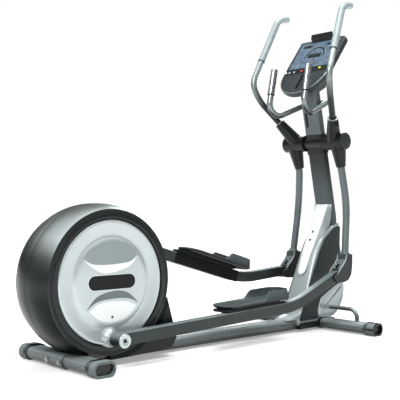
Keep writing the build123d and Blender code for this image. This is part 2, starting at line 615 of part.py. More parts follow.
for name, sign in SIDES:
    hub_mid = Vector(HUB_X, sign * 124, HUB_Z)
    cover_top = Vector(COVER_TOP[0], sign * COVER_TOP[1], COVER_TOP[2])
    bar_axis = (cover_top - hub_mid).normalized()
    link_top = Vector(LINK_TOP[0], sign * LINK_TOP[1], LINK_TOP[2])
    link_points = [(x, sign * y, z) for x, y, z in (LINK_TOP, LINK_BEND, LINK_MID, LINK_END, LINK_FOOT)]
    outer = sign * HUB_OUT if sign > 0 else -HUB_IN

    with BuildPart() as swing_bar:
        with BuildLine() as link_route:
            FilletPolyline(link_points, radius=bend_radii(link_points))
        with BuildSketch(Plane(origin=link_route.line @ 0, z_dir=link_route.line % 0)):
            Circle(LINK_R)
            Circle(LINK_R - 3, mode=Mode.SUBTRACT)
        sweep()
        with BuildSketch(side_plane(outer)):
            with Locations((HUB_X, HUB_Z)):
                Circle(HUB_R)
        extrude(amount=HUB_OUT - HUB_IN)
        with BuildSketch(Plane(origin=hub_mid, z_dir=bar_axis)):
            Circle(BAR_R - 3)
        extrude(amount=92)
        with BuildSketch(side_plane(sign * ARM_Y + FORK_IN)):
            with Locations(FORK_TOP, (LINK_FOOT[0], LINK_FOOT[2])):
                Circle(LINK_R - 2)
            make_hull()
        extrude(amount=2 * FORK_IN)
        for start in (sign * ARM_Y - FORK_IN, sign * ARM_Y + FORK_IN + FORK_T):
            for upper, lower, lower_r in ((FORK_TOP, FORK_BEND, 14), (FORK_BEND, (FOOT_X, FOOT_Z), 20)):
                with BuildSketch(side_plane(start)):
                    with Locations(upper):
                        Circle(14)
                    with Locations(lower):
                        Circle(lower_r)
                    make_hull()
                extrude(amount=FORK_T)
        with BuildSketch(side_plane(sign * ARM_Y + FORK_IN + FORK_T)):
            with Locations((FOOT_X, FOOT_Z)):
                Circle(PIN_R)
        extrude(amount=2 * (FORK_IN + FORK_T))
        with BuildSketch(side_plane(outer)):
            with Locations((HUB_X, HUB_Z)):
                Circle(PIVOT_R + RUNNING)
        extrude(amount=HUB_OUT - HUB_IN, mode=Mode.SUBTRACT)
    save(swing_bar.part, f"swing_bar_{name}")

    bar_points = [hub_mid + bar_axis * 54, hub_mid + bar_axis * 146] + [
        Vector(x, sign * y, z)
        for x, y, z in ((618, 246, 1236), (583, 268, 1330), (748, 224, 1698), (815, 221, 1709))
    ]
    bar_points = [(p.X, p.Y, p.Z) for p in bar_points]
    with BuildPart() as handlebar:
        with BuildLine() as bar_route:
            FilletPolyline(bar_points, radius=bend_radii(bar_points))
        with BuildSketch(Plane(origin=bar_route.line @ 0, z_dir=bar_route.line % 0)):
            Circle(BAR_R)
            Circle(BAR_R - 2.5, mode=Mode.SUBTRACT)
        sweep()
    save(handlebar.part, f"handlebar_{name}")

    elbow, corner, tip = (Vector(*p) for p in bar_points[-3:])
    grip_start = elbow + (corner - elbow) * TIP_START
    grip_points = [(p.X, p.Y, p.Z) for p in (grip_start, corner, tip)]
    with BuildPart() as swing_grip:
        with BuildLine() as grip_route:
            FilletPolyline(grip_points, radius=bend_radii(bar_points)[-1])
        with BuildSketch(Plane(origin=grip_route.line @ 0, z_dir=grip_route.line % 0)):
            Circle(GRIP_R)
            Circle(BAR_R + GAP, mode=Mode.SUBTRACT)
        sweep()
        with BuildSketch(Plane(origin=tip, z_dir=tip - corner)):
            Circle(GRIP_R)
        extrude(amount=4)
        with BuildSketch(Plane(origin=tip, z_dir=tip - corner)):
            Circle(BAR_R + GAP)
        extrude(amount=GAP, mode=Mode.SUBTRACT)
    save(swing_grip.part, f"swing_grip_{name}")

    with BuildPart() as hub_cover:
        sleeve_start = HUB_OUT - 1 if sign > 0 else -COVER_IN
        with BuildSketch(side_plane(sleeve_start)):
            with Locations((HUB_X, HUB_Z)):
                Circle(COVER_R)
        extrude(amount=HUB_OUT - 1 - COVER_IN)
        with BuildSketch(Plane(origin=hub_mid + bar_axis * 8, z_dir=bar_axis)):
            Circle(40)
        with BuildSketch(Plane(origin=cover_top, z_dir=bar_axis)):
            Circle(27)
        loft()
        link_bend = Vector(LINK_BEND[0], sign * LINK_BEND[1], LINK_BEND[2])
        link_axis = (link_bend - link_top).normalized()
        with BuildSketch(Plane(origin=link_top, z_dir=link_axis)):
            Circle(42)
        with BuildSketch(Plane(origin=link_bend - link_axis * 2, z_dir=link_axis)):
            Circle(25)
        loft()
        with BuildSketch(side_plane(sign * (HUB_OUT + 1) if sign > 0 else -(HUB_IN - 1))):
            with Locations((HUB_X, HUB_Z)):
                Circle(HUB_R + GAP)
        extrude(amount=HUB_OUT - HUB_IN + 2, mode=Mode.SUBTRACT)
        with BuildSketch(side_plane(sleeve_start)):
            with Locations((HUB_X, HUB_Z)):
                Circle(CROSS_R + RUNNING)
        extrude(amount=HUB_OUT - 1 - COVER_IN, mode=Mode.SUBTRACT)
        with BuildSketch(Plane(origin=hub_mid, z_dir=bar_axis)):
            Circle(BAR_R + 4)
        extrude(amount=200, mode=Mode.SUBTRACT)
        with BuildLine() as link_hole:
            FilletPolyline(link_points, radius=bend_radii(link_points))
        with BuildSketch(Plane(origin=link_hole.line @ 0, z_dir=link_hole.line % 0)):
            Circle(LINK_R + 1)
        sweep(mode=Mode.SUBTRACT)
        with BuildSketch(side_plane(sign * (HUB_OUT - 1) if sign < 0 else HUB_OUT + 39)):
            with Locations((HUB_X, HUB_Z)):
                Rectangle(400, 400)
        extrude(amount=40, mode=Mode.SUBTRACT)
    save(hub_cover.part, f"hub_cover_{name}")

    with BuildPart() as hub_cap:
        with BuildSketch(side_plane(sign * (HUB_OUT + GAP))):
            with Locations((HUB_X, HUB_Z)):
                Circle(44)
        extrude(amount=-sign * 9)
        fillet(hub_cap.faces().sort_by(Axis.Y)[-1 if sign > 0 else 0].edges(), 3)
    save(hub_cap.part, f"hub_cap_{name}")

    with BuildPart() as link_cover:
        with BuildSketch(side_plane(sign * ARM_Y + CHEEK_IN + CHEEK_T)):
            with BuildLine():
                Polyline(
                    (801, 404), (796, 378), (771, 352), (742, 324), (706, 296), (703, 282), (731, 262),
                    (777, 259), (815, 268), (841, 296), (849, 345), (850, 404), close=True,
                )
            make_face()
        extrude(amount=2 * (CHEEK_IN + CHEEK_T))
        with BuildSketch(side_plane(sign * ARM_Y + CHEEK_IN)):
            with BuildLine():
                Polyline(
                    (804, 430), (804, 404), (799, 376), (774, 348), (740, 324), (690, 330), (690, 240),
                    (777, 240), (777, 263), (812, 271), (837, 297), (845.5, 345), (846.5, 430), close=True,
                )
            make_face()
        extrude(amount=2 * CHEEK_IN, mode=Mode.SUBTRACT)
        with BuildSketch(Plane(origin=(762, sign * ARM_Y, 342), x_dir=(0.71, 0, 0.70), z_dir=(-0.70, 0, 0.71))):
            SlotOverall(34, 17)
        extrude(amount=12, both=True, mode=Mode.SUBTRACT)
    save(link_cover.part, f"link_cover_{name}")

# ---------------------------------------------------------------- foot arms and pedals
WALL_TOP = 54                     # height of the pedals' front walls
TUBE_W, TUBE_H = 40, 54
HOUSING_IN, HOUSING_OUT, HOUSING_R = BOSS_OUT + 1, 223, 30
EYE_R, EYE_L = 20, 46             # eye at the front end of each foot arm
ARM_BEND_R = 600
PEDAL_START, PEDAL_L, PEDAL_W = 610, 440, 150
PEDAL_Y = 130                     # the pedals sit inward of the foot arms
BRACKET_START, BRACKET_L, BRACKET_W = 602, 360, 96
BRACKET_T, BRACKET_SIDE, BRACKET_RISE = 5, 4, 8
BRACKET_Y = 148
SIDE_L = 436

for name, sign in SIDES:
    pin_x, pin_z = crank_pin(sign)
    pin, pivot = Vector(pin_x, sign * ARM_Y, pin_z), Vector(FOOT_X, sign * ARM_Y, FOOT_Z)
    along = (pivot - pin).normalized()
    above = Vector(-along.Z, 0, along.X)
    knee = pin + along * 1072 - above * 94
    run = (knee - pin).normalized()
    tail = (pivot - knee).normalized()
    arm_points = [(p.X, p.Y, p.Z) for p in (pin + run * 10, knee, pivot - tail * EYE_L)]
    lift = Vector(-run.Z, 0, run.X)
    housing_start = sign * HOUSING_OUT if sign > 0 else -HOUSING_IN

    with BuildPart() as foot_arm:
        with BuildLine() as arm_route:
            FilletPolyline(arm_points, radius=ARM_BEND_R)
        with BuildSketch(Plane(origin=arm_route.line @ 0, x_dir=(0, 1, 0), z_dir=arm_route.line % 0)):
            RectangleRounded(TUBE_W, TUBE_H, 6)
            RectangleRounded(TUBE_W - 6, TUBE_H - 6, 3, mode=Mode.SUBTRACT)
        sweep()
        with BuildSketch(side_plane(sign * ARM_Y + TUBE_W / 2)):
            with Locations((FOOT_X, FOOT_Z)):
                Circle(EYE_R)
            with Locations((FOOT_X - tail.X * EYE_L, FOOT_Z - tail.Z * EYE_L)):
                Rectangle(4, TUBE_H - 2, rotation=math.degrees(math.atan2(tail.Z, tail.X)))
            make_hull()
        extrude(amount=TUBE_W)
        with BuildSketch(side_plane(housing_start)):
            with Locations((pin_x, pin_z)):
                Circle(HOUSING_R)
        extrude(amount=HOUSING_OUT - HOUSING_IN)
        with BuildSketch(side_plane(sign * ARM_Y + TUBE_W / 2 + 1)):
            with Locations((FOOT_X, FOOT_Z)):
                Circle(PIN_R + RUNNING)
        extrude(amount=TUBE_W + 2, mode=Mode.SUBTRACT)
    save(foot_arm.part, f"foot_arm_{name}")

    with BuildPart() as crank_pin_cap:
        with BuildSketch(side_plane(sign * (HOUSING_OUT + GAP))):
            with Locations((pin_x, pin_z)):
                Circle(29)
        extrude(amount=-sign * 4)
        with BuildSketch(side_plane(sign * (HOUSING_OUT + GAP + 4))):
            with Locations((pin_x, pin_z)):
                Circle(10)
                RegularPolygon(5, 6, mode=Mode.SUBTRACT)
        extrude(amount=-sign * 4)
    save(crank_pin_cap.part, f"crank_pin_cap_{name}")

    arm_top = TUBE_H / 2 + GAP
    bracket_origin = pin + run * BRACKET_START + lift * arm_top
    bracket_mid = Vector(bracket_origin.X, sign * BRACKET_Y, bracket_origin.Z)
    inner_faces = [sign * (ARM_Y - TUBE_W / 2 - GAP), sign * (ARM_Y - TUBE_W / 2 - GAP - BRACKET_SIDE)]
    side_origin = Vector(bracket_origin.X, max(inner_faces), bracket_origin.Z)
    with BuildPart() as pedal_bracket:
        with BuildSketch(Plane(origin=bracket_mid, x_dir=run, z_dir=lift)):
            with Locations((BRACKET_L / 2, 0)):
                Rectangle(BRACKET_L, BRACKET_W)
        extrude(amount=BRACKET_T + BRACKET_RISE)
        with BuildSketch(Plane(origin=side_origin, x_dir=run, z_dir=(0, -1, 0))):
            with Locations((SIDE_L / 2, (BRACKET_T - TUBE_H) / 2)):
                Rectangle(SIDE_L, TUBE_H + BRACKET_T)
        extrude(amount=BRACKET_SIDE)
    save(pedal_bracket.part, f"pedal_bracket_{name}")

    pedal_mid = pin + run * (PEDAL_START + PEDAL_L / 2) + lift * (arm_top + BRACKET_T + BRACKET_RISE + GAP)
    pedal_mid = Vector(pedal_mid.X, sign * PEDAL_Y, pedal_mid.Z)
    with BuildPart() as pedal:
        with BuildSketch(Plane(origin=pedal_mid, x_dir=run, z_dir=lift)):
            RectangleRounded(PEDAL_L, PEDAL_W, 60)
        extrude(amount=WALL_TOP)
        with BuildSketch(Plane(origin=pedal_mid + lift * 10, x_dir=run, z_dir=lift)):
            RectangleRounded(PEDAL_L - 14, PEDAL_W - 14, 53)
        extrude(amount=WALL_TOP, mode=Mode.SUBTRACT)
        with BuildSketch(Plane(origin=pedal_mid + Vector(0, 100, 0), x_dir=run, z_dir=(0, -1, 0))):
            with BuildLine():
                Polyline((-300, 70), (-300, 16), (15, 16), (52, WALL_TOP), (52, 70), close=True)
            make_face()
        extrude(amount=200, mode=Mode.SUBTRACT)
    save(pedal.part, f"pedal_{name}")

# ---------------------------------------------------------------- console
KEYS = {                          # place of each key: to the user's right, up the face
    "white": (-143, 168), "silver_outer": (-117, 166), "silver_inner": (-83, 166),
    "red": (-32, 168), "yellow": (90, 174),
}
KEY_R = 7

with BuildPart() as console_body:
    with BuildSketch(console_plane(-CONSOLE_T)) as console_outline:
        with Locations((0, 150)):
            Ellipse(CONSOLE_W / 2, 150)
        with Locations((0, 150 + (CONSOLE_L - 150) / 2)):
            Rectangle(CONSOLE_W, CONSOLE_L - 150)
        fillet(console_outline.vertices().sort_by(Axis((0, 0, 0), console_up))[-2:], 28)
    extrude(amount=CONSOLE_T)
    fillet(console_body.faces().sort_by(Axis((0, 0, 0), console_out))[-1].edges(), 7)
    fillet(console_body.faces().sort_by(Axis((0, 0, 0), console_out))[0].edges(), 14)
    with BuildSketch(console_plane(0)):
        with Locations(*KEYS.values()):
            Circle(KEY_R + 0.5)
    extrude(amount=-14, mode=Mode.SUBTRACT)
    with BuildSketch(console_plane(0)):
        with Locations((8, 90)):
            RectangleRounded(46, 110, 10)
    extrude(amount=-12, mode=Mode.SUBTRACT)
    with BuildSketch(console_plane(-16)):
        with Locations((0, 150)):
            Ellipse(CONSOLE_W / 2 - 16, 134)
        with Locations((0, 150 + (CONSOLE_L - 182) / 2)):
            Rectangle(CONSOLE_W - 32, CONSOLE_L - 182)
    extrude(amount=-15, mode=Mode.SUBTRACT)
save(console_body.part, "console_body")

with BuildPart() as console_overlay:
    with BuildSketch(console_plane(GAP)):
        with Locations((0, 288)):
            RectangleRounded(272, 196, 10)
    extrude(amount=2)
save(console_overlay.part, "console_overlay")

with BuildPart() as console_hood:
    hood_origin = Vector(*CONSOLE_BASE) + console_up * (CONSOLE_L - 18)
    with BuildSketch(Plane(origin=hood_origin, x_dir=console_up, z_dir=(0, -1, 0))):
        with BuildLine():
            Polyline(
                (0, 2.6), (8, 22), (30, 32), (34, 25), (23, 12), (25, -24), (18.5, -24), (18.5, 2.6),
                close=True,
            )
        make_face()
    extrude(amount=72, both=True)
save(console_hood.part, "console_hood")

for name, (right, up) in KEYS.items():
    with BuildPart() as key:
        with BuildSketch(console_plane(-8)):
            with Locations((right, up)):
                Circle(KEY_R)
        extrude(amount=12)
        fillet(key.faces().sort_by(Axis((0, 0, 0), console_out))[-1].edges(), 1.5)
    save(key.part, f"key_{name}")

# ---------------------------------------------------------------- fixed pulse bar
PULSE_R = 15.5
PULSE_TOP, PULSE_BEND, PULSE_FRONT = (601, 119, 1385), (548, 123, 1109), (812, 74, 1217)
pulse_points = [(x, -y, z) for x, y, z in (PULSE_TOP, PULSE_BEND, PULSE_FRONT)]
pulse_points += [PULSE_FRONT, PULSE_BEND, PULSE_TOP]
mast_front = Vector(mast_axis.Z, 0, -mast_axis.X)
lug_origin = Vector(*MAST_JOINT) + mast_axis * 212 + mast_front * (MAST_D / 2 + GAP)
with BuildPart() as pulse_bar:
    with BuildLine() as pulse_route:
        FilletPolyline(pulse_points, radius=[60, 40, 40, 60])
    with BuildSketch(Plane(origin=pulse_route.line @ 0, z_dir=pulse_route.line % 0)):
        Circle(PULSE_R)
        Circle(PULSE_R - 3, mode=Mode.SUBTRACT)
    sweep()
    with BuildSketch(Plane(origin=lug_origin, x_dir=(0, 1, 0), z_dir=mast_front)):
        RectangleRounded(44, 22, 5)
    extrude(amount=10)
save(pulse_bar.part, "pulse_bar")

with BuildPart() as pulse_grips:
    for side, sign in SIDES:
        top = Vector(PULSE_TOP[0], sign * PULSE_TOP[1], PULSE_TOP[2])
        down = (Vector(PULSE_BEND[0], sign * PULSE_BEND[1], PULSE_BEND[2]) - top).normalized()
        with BuildSketch(Plane(origin=top - down * 5, z_dir=down)):
            Circle(PULSE_R + 3)
        extrude(amount=140)
        with BuildSketch(Plane(origin=top - down * GAP, z_dir=down)):
            Circle(PULSE_R + GAP)
        extrude(amount=150, mode=Mode.SUBTRACT)
save(pulse_grips.part, "pulse_grips")
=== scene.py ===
import json
import math
from functools import partial

import bmesh
import bpy
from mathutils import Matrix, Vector


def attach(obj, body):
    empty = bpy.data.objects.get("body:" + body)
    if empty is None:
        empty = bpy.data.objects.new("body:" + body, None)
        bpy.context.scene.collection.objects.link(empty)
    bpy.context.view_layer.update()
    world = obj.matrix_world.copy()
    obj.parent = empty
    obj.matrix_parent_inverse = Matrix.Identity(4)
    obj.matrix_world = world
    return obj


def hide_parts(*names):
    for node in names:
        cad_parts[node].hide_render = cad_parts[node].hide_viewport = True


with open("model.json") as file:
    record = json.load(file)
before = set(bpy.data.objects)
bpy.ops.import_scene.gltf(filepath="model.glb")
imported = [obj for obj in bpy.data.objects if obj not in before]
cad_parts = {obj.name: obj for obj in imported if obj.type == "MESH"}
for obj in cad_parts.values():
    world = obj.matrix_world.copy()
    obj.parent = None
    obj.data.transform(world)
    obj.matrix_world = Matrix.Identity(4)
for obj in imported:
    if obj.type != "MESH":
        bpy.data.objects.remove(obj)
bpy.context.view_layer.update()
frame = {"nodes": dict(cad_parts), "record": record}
nodes = frame["nodes"]
scene = bpy.context.scene
MM = 0.001
SIDES = (("right", -1), ("left", 1))
CRANK = (-646, 349)
PINS = {"right": (-653.7, 120.1), "left": (-638.3, 577.9)}
SWING_AXLE = (801, 1000)


# ---------------------------------------------------------------- shader helpers
def shader_nodes(name):
    """A new material with its nodes, links and shader."""
    material = bpy.data.materials.new(name)
    material.use_nodes = True
    tree = material.node_tree
    return material, tree.nodes, tree.links, tree.nodes["Principled BSDF"]


def noise(tree_nodes, tree_links, scale, detail=3.0, stretch=(1, 1, 1)):
    """Fractal noise over the object's own coordinates."""
    coord = tree_nodes.new("ShaderNodeTexCoord")
    mapping = tree_nodes.new("ShaderNodeMapping")
    mapping.inputs["Scale"].default_value = stretch
    texture = tree_nodes.new("ShaderNodeTexNoise")
    texture.inputs["Scale"].default_value = scale
    texture.inputs["Detail"].default_value = detail
    tree_links.new(coord.outputs["Object"], mapping.inputs["Vector"])
    tree_links.new(mapping.outputs["Vector"], texture.inputs["Vector"])
    return texture.outputs["Fac"]


def ramp(tree_nodes, tree_links, value, stops):
    """Colour ramp from (position, colour or grey) stops."""
    node = tree_nodes.new("ShaderNodeValToRGB")
    elements = node.color_ramp.elements
    while len(elements) < len(stops):
        elements.new(0.5)
    for element, (position, colour) in zip(elements, stops):
        element.position = position
        element.color = (*colour, 1) if isinstance(colour, tuple) else (colour, colour, colour, 1)
    tree_links.new(value, node.inputs["Fac"])
    return node.outputs["Color"]


def scaled(colour, factor):
    return tuple(min(1.0, c * factor) for c in colour)


def ramp_along_z(tree_nodes, tree_links, stops):
    """Brightness factor by the height of a point above the floor, from (metres, factor) stops."""
    coord = tree_nodes.new("ShaderNodeTexCoord")
    split = tree_nodes.new("ShaderNodeSeparateXYZ")
    tree_links.new(coord.outputs["Object"], split.inputs["Vector"])
    height = tree_nodes.new("ShaderNodeMapRange")
    height.inputs["From Min"].default_value = stops[0][0]
    height.inputs["From Max"].default_value = stops[-1][0]
    tree_links.new(split.outputs["Z"], height.inputs["Value"])
    reach = stops[-1][0] - stops[0][0]
    return ramp(
        tree_nodes, tree_links, height.outputs["Result"],
        [((place - stops[0][0]) / reach, factor) for place, factor in stops],
    )


def painted_shade_by_facing(tree_nodes, tree_links, underside_shade, side):
    """Brightness factor by how far a face looks up: painted shade, darker on sides and undersides."""
    coord = tree_nodes.new("ShaderNodeTexCoord")
    split = tree_nodes.new("ShaderNodeSeparateXYZ")
    tree_links.new(coord.outputs["Normal"], split.inputs["Vector"])
    half = tree_nodes.new("ShaderNodeMapRange")
    half.inputs["From Min"].default_value = -1
    tree_links.new(split.outputs["Z"], half.inputs["Value"])
    return ramp(tree_nodes, tree_links, half.outputs["Result"], [(0.2, underside_shade), (0.52, side), (0.8, 1.0)])


def mixed(tree_nodes, tree_links, first, second, blend, factor=1.0):
    """Two colours blended; each is a socket or a fixed colour, and so is the factor a socket or a number."""
    mix = tree_nodes.new("ShaderNodeMix")
    mix.data_type = "RGBA"
    mix.blend_type = blend
    for socket, value in ((mix.inputs["Factor"], factor), (mix.inputs[6], first), (mix.inputs[7], second)):
        if isinstance(value, bpy.types.NodeSocket):
            tree_links.new(value, socket)
        else:
            socket.default_value = value
    return mix.outputs[2]


def multiplied(tree_nodes, tree_links, colour, factor):
    return mixed(tree_nodes, tree_links, colour, factor, "MULTIPLY")


def finish_material(
    name, colour, rough, metal=0.0, grain=900.0, depth=0.00012, vary=0.10, cloud=9.0, coat=0.0,
    stretch=(1, 1, 1), spread=0.07, underside_shade=None, side=None, fade=None, shine=0.5,
):
    """Paint, plastic or metal: clouded colour, uneven roughness and a fine grain in the surface.

    The underside and side factors paint shade into the colour of faces that look down or sideways; fade
    darkens by height, in metres.
    """
    material, tree_nodes, links, shader = shader_nodes(name)
    clouds = noise(tree_nodes, links, cloud)
    tint = ramp(tree_nodes, links, clouds, [(0.3, scaled(colour, 1 - vary)), (0.7, scaled(colour, 1 + vary))])
    # Painted shade: the colour darkened on faces that look sideways or down.
    if underside_shade is not None:
        tint = multiplied(tree_nodes, links, tint, painted_shade_by_facing(tree_nodes, links, underside_shade, side))
    if fade:
        tint = multiplied(tree_nodes, links, tint, ramp_along_z(tree_nodes, links, fade))
    links.new(tint, shader.inputs["Base Color"])
    fine = noise(tree_nodes, links, grain, 2.0, stretch)
    uneven = ramp(tree_nodes, links, fine, [(0.25, max(0.02, rough - spread)), (0.75, rough + spread)])
    links.new(uneven, shader.inputs["Roughness"])
    bump = tree_nodes.new("ShaderNodeBump")
    bump.inputs["Strength"].default_value = 0.6
    bump.inputs["Distance"].default_value = depth
    links.new(fine, bump.inputs["Height"])
    links.new(bump.outputs["Normal"], shader.inputs["Normal"])
    shader.inputs["Metallic"].default_value = metal
    shader.inputs["Specular IOR Level"].default_value = shine
    shader.inputs["Coat Weight"].default_value = coat
    shader.inputs["Coat Roughness"].default_value = 0.12
    return material


def casing_material():
    """Black moulding whose round crown is metallic grey paint, with a painted highlight high up and painted
    shade fading it to black low down.
    """
    material = finish_material("casing", (0.010, 0.013, 0.014), 0.34, shine=0.22)
    tree = material.node_tree
    tree_nodes, links = tree.nodes, tree.links
    shader = tree_nodes["Principled BSDF"]
    coord = tree_nodes.new("ShaderNodeTexCoord")
    flat = tree_nodes.new("ShaderNodeVectorMath")
    flat.operation = "MULTIPLY_ADD"
    flat.inputs[1].default_value = (1, 0, 1)
    flat.inputs[2].default_value = (-CRANK[0] * MM, 0, -CRANK[1] * MM)
    links.new(coord.outputs["Object"], flat.inputs[0])
    reach = tree_nodes.new("ShaderNodeVectorMath")
    reach.operation = "LENGTH"
    links.new(flat.outputs["Vector"], reach.inputs[0])
    in_crown = ramp(
        tree_nodes, links, reach.outputs["Value"], [(0.297, 0.0), (0.302, 1.0), (0.329, 1.0), (0.331, 0.0)]
    )
    # Painted highlight and painted shade by height over the crown: brightest a little below the top, fading
    # to black low down.
    crown_painted_light = ramp_along_z(tree_nodes, links, [
        (0.10, 0.0), (0.28, 0.004), (0.38, 0.035), (0.46, 0.18), (0.54, 0.62), (0.61, 0.66), (0.68, 0.50),
    ])
    grey = multiplied(tree_nodes, links, crown_painted_light, in_crown)
    cool_grey = multiplied(tree_nodes, links, grey, (0.90, 1.0, 1.0, 1))
    black = shader.inputs["Base Color"].links[0].from_socket
    links.new(mixed(tree_nodes, links, black, cool_grey, "ADD"), shader.inputs["Base Color"])
    links.new(in_crown, shader.inputs["Metallic"])
    return material


# Finishes with underside and side factors have painted shade in their colour, darker on faces that look
# sideways or down.
FINISHES = {
    "frame_grey": dict(colour=(0.36, 0.42, 0.425), rough=0.36, metal=0.5, coat=0.2, underside_shade=0.03, side=0.30),
    "cap_grey": dict(colour=(0.19, 0.235, 0.24), rough=0.5, grain=1500, depth=0.0002, underside_shade=0.10, side=0.55),
    "bolt_steel": dict(colour=(0.36, 0.38, 0.39), rough=0.24, metal=1.0, stretch=(1, 1, 9)),
    "bolt_black": dict(colour=(0.006, 0.007, 0.008), rough=0.35, metal=0.2),
    "rim_black": dict(colour=(0.012, 0.015, 0.016), rough=0.26, coat=0.1, shine=0.25),
    "inner_black": dict(colour=(0.007, 0.009, 0.010), rough=0.5, grain=1400, depth=0.0002, shine=0.15),
    "bearing_steel": dict(colour=(0.6, 0.62, 0.63), rough=0.2, metal=1.0, stretch=(9, 1, 9)),
    "belt_rubber": dict(colour=(0.02, 0.02, 0.02), rough=0.6, grain=700, stretch=(1, 14, 1)),
    "pulley_aluminium": dict(colour=(0.66, 0.68, 0.69), rough=0.3, metal=1.0),
    "disc_silver": dict(colour=(0.50, 0.56, 0.565), rough=0.30, metal=0.45, coat=0.3, vary=0.03),
    "disc_shade": dict(colour=(0.27, 0.32, 0.325), rough=0.36, metal=0.4, vary=0.05, cloud=5),
    "disc_dark": dict(colour=(0.14, 0.17, 0.175), rough=0.38, metal=0.4, vary=0.08, cloud=5),
    "disc_light": dict(colour=(0.80, 0.84, 0.84), rough=0.26, metal=0.1, coat=0.4, vary=0.02),
    "disc_badge": dict(colour=(0.006, 0.007, 0.009), rough=0.3, shine=0.2),
    "flywheel_iron": dict(colour=(0.22, 0.23, 0.24), rough=0.4, metal=1.0),
    "mast_dark": dict(
        colour=(0.075, 0.095, 0.10), rough=0.40, metal=0.35, coat=0.15,
        fade=[(0.5, 1.0), (0.75, 0.62), (0.9, 0.10), (1.0, 0.05)],
    ),
    "mast_grey": dict(colour=(0.16, 0.19, 0.195), rough=0.36, metal=0.5, coat=0.2, underside_shade=0.2, side=0.8),
    "cover_white": dict(colour=(0.90, 0.93, 0.93), rough=0.28, vary=0.02, coat=0.3),
    "shell_grey": dict(
        colour=(0.44, 0.50, 0.505), rough=0.30, metal=0.35, coat=0.3, vary=0.04, underside_shade=0.3, side=0.85,
    ),
    "panel_charcoal": dict(colour=(0.018, 0.024, 0.026), rough=0.5, grain=1300, depth=0.00025, shine=0.3),
    "plastic_black": dict(colour=(0.008, 0.010, 0.011), rough=0.33, grain=1500, shine=0.25),
    "link_charcoal": dict(
        colour=(0.12, 0.15, 0.155), rough=0.42, grain=1300, depth=0.0002, underside_shade=0.12, side=0.16,
        shine=0.35,
    ),
    "console_charcoal": dict(colour=(0.024, 0.032, 0.034), rough=0.42, grain=1300, depth=0.0002, shine=0.35),
    "screen_blue": dict(colour=(0.085, 0.13, 0.185), rough=0.32, vary=0.4, cloud=38, coat=0.1),
    "bar_silver": dict(
        colour=(0.48, 0.545, 0.55), rough=0.27, metal=0.8, stretch=(1, 1, 0.15), underside_shade=0.08, side=0.75,
    ),
    "swing_silver": dict(
        colour=(0.52, 0.59, 0.595), rough=0.28, metal=0.75, stretch=(1, 1, 0.15),
        fade=[(1.05, 0.03), (1.2, 0.06), (1.28, 0.32), (1.38, 1.0), (1.5, 1.0)],
    ),
    "grip_grey": dict(colour=(0.36, 0.425, 0.43), rough=0.42, metal=0.25, grain=1100, depth=0.0003),
    "chrome": dict(colour=(0.74, 0.77, 0.79), rough=0.09, metal=1.0, spread=0.03, depth=0.00002),
    "arm_grey": dict(
        colour=(0.19, 0.235, 0.24), rough=0.36, metal=0.35, coat=0.1, underside_shade=0.05, side=0.16, shine=0.3,
    ),
    "swing_grey": dict(colour=(0.22, 0.265, 0.27), rough=0.36, metal=0.35, coat=0.1, underside_shade=0.2, side=0.62),
    "pedal_rubber": dict(
        colour=(0.07, 0.092, 0.096), rough=0.5, grain=700, depth=0.0005, underside_shade=0.08, side=0.36,
        shine=0.35,
    ),
    "wheel_black": dict(colour=(0.02, 0.02, 0.02), rough=0.5),
    "key_white": dict(colour=(0.82, 0.85, 0.85), rough=0.3, vary=0.03),
    "key_silver": dict(colour=(0.5, 0.53, 0.54), rough=0.28, metal=0.4),
    "key_red": dict(colour=(0.60, 0.045, 0.04), rough=0.3, vary=0.06),
    "key_yellow": dict(colour=(0.85, 0.78, 0.03), rough=0.3, vary=0.04),
}
MATERIALS = {name: finish_material(name, **finish) for name, finish in FINISHES.items()}
MATERIALS["casing"] = casing_material()
OWN_LOOK = {
    "handlebar_right": "swing_silver", "handlebar_left": "swing_silver",
    "swing_bar_right": "swing_grey", "swing_bar_left": "swing_grey",
    "link_cover_right": "link_charcoal", "link_cover_left": "link_charcoal",
}
for subpart in frame["record"]["subparts"]:
    node = subpart["node"]
    nodes[node].data.materials.clear()
    nodes[node].data.materials.append(MATERIALS[OWN_LOOK.get(node, subpart["material_slot"])])


# ---------------------------------------------------------------- mesh helpers, in millimetres
def piece(name, shape, material, body, replaces=(), bevel=0.0, sharp=35.0):
    """One mesh of its own: points and faces, its material, and the body it moves with.

    replaces names the CAD nodes that it stands for.
    """
    points, faces = shape
    mesh = bpy.data.meshes.new(name)
    mesh.from_pydata([Vector(p) * MM for p in points], [], faces)
    surface = bmesh.new()
    surface.from_mesh(mesh)
    bmesh.ops.recalc_face_normals(surface, faces=surface.faces)
    wide = [face for face in surface.faces if len(face.verts) > 4]
    bmesh.ops.triangulate(surface, faces=wide, ngon_method="EAR_CLIP")
    surface.to_mesh(mesh)
    surface.free()
    for polygon in mesh.polygons:
        polygon.use_smooth = True
    mesh.set_sharp_from_angle(angle=math.radians(sharp))
    mesh.materials.append(material)
    made = bpy.data.objects.new(name, mesh)
    scene.collection.objects.link(made)
    if bevel:
        soften(made, bevel)
    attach(made, body)
    if replaces:
        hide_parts(*replaces)
    return made


def soften(target, width):
    """Rounded edges, as a moulding has."""
    bevel = target.modifiers.new("edges", "BEVEL")
    bevel.width = width * MM
    bevel.segments = 3
    bevel.limit_method = "ANGLE"
    bevel.angle_limit = math.radians(40)
    bevel.harden_normals = True


def soften_node(name, width):
    """Rounded edges on a CAD node, whose faces are welded together first."""
    weld = nodes[name].modifiers.new("weld", "WELD")
    weld.merge_threshold = 0.00001
    soften(nodes[name], width)


def loft(rings, closed=False):
    """Skin over rings with the same number of points; the ends are capped, or closed means they meet."""
    count = len(rings[0])
    points = [point for ring in rings for point in ring]
    faces = []
    rows = len(rings) if closed else len(rings) - 1
    for row in range(rows):
        for k in range(count):
            a, b = row * count + k, row * count + (k + 1) % count
            c, d = (b + count) % len(points), (a + count) % len(points)
            faces.append((a, b, c, d))
    if not closed:
        faces += [tuple(range(count))[::-1], tuple(range(len(points) - count, len(points)))]
    return points, faces


